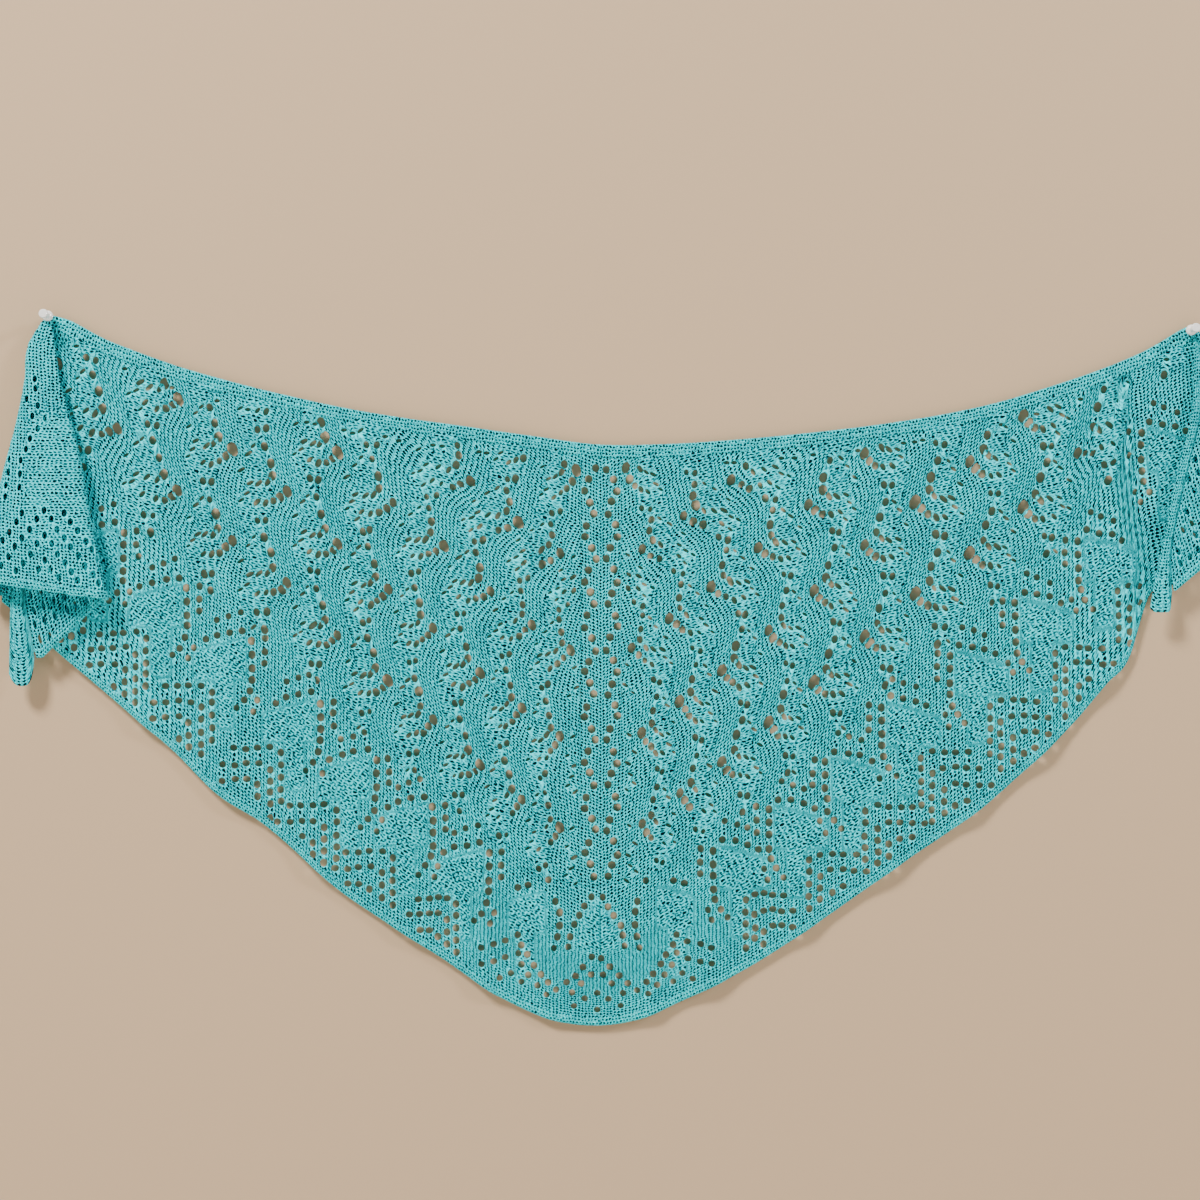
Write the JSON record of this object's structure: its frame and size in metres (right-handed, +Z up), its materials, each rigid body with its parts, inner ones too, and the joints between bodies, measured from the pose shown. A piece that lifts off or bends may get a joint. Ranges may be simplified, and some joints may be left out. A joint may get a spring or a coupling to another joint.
{
  "type": "triangle shawl on two push pins",
  "caption": "Hand-knitted turquoise lace triangle shawl hung flat on a wall by two push pins, its two tails folded and hanging straight down from the pins.",
  "frame": {"origin": "midway between the two push pins, on the face of the wall they are pushed into", "axes": "+X to the right along the wall, +Y into the wall, +Z up; the cloth hangs on the -Y side"},
  "size_m": [1.3266, 0.0473, 0.75],
  "materials": {
    "lace_yarn": "knitted wool lace, matt with a soft halo",
    "garter_yarn": "knitted wool garter stitch, matt",
    "bind_off_yarn": "bound-off wool edge, matt",
    "pin_plastic": "smooth moulded plastic",
    "pin_steel": "polished steel"
  },
  "bodies": {
    "root": {"top_band_left": "garter_yarn", "top_band_right": "garter_yarn", "body_left": "lace_yarn", "body_right": "lace_yarn", "spine": "lace_yarn", "border_left": "lace_yarn", "border_right": "lace_yarn", "hem_edge_left": "bind_off_yarn", "hem_edge_right": "bind_off_yarn", "tail_left_front": "lace_yarn", "tail_left_inner": "lace_yarn", "tail_left_hem": "bind_off_yarn", "tail_left_hem_inner": "bind_off_yarn", "tail_left_band": "garter_yarn", "tail_right_front": "lace_yarn", "tail_right_hem": "bind_off_yarn", "tail_right_band": "garter_yarn", "pin_left_head": "pin_plastic", "pin_left_needle": "pin_steel", "pin_right_head": "pin_plastic", "pin_right_needle": "pin_steel"}
  },
  "joints": []
}
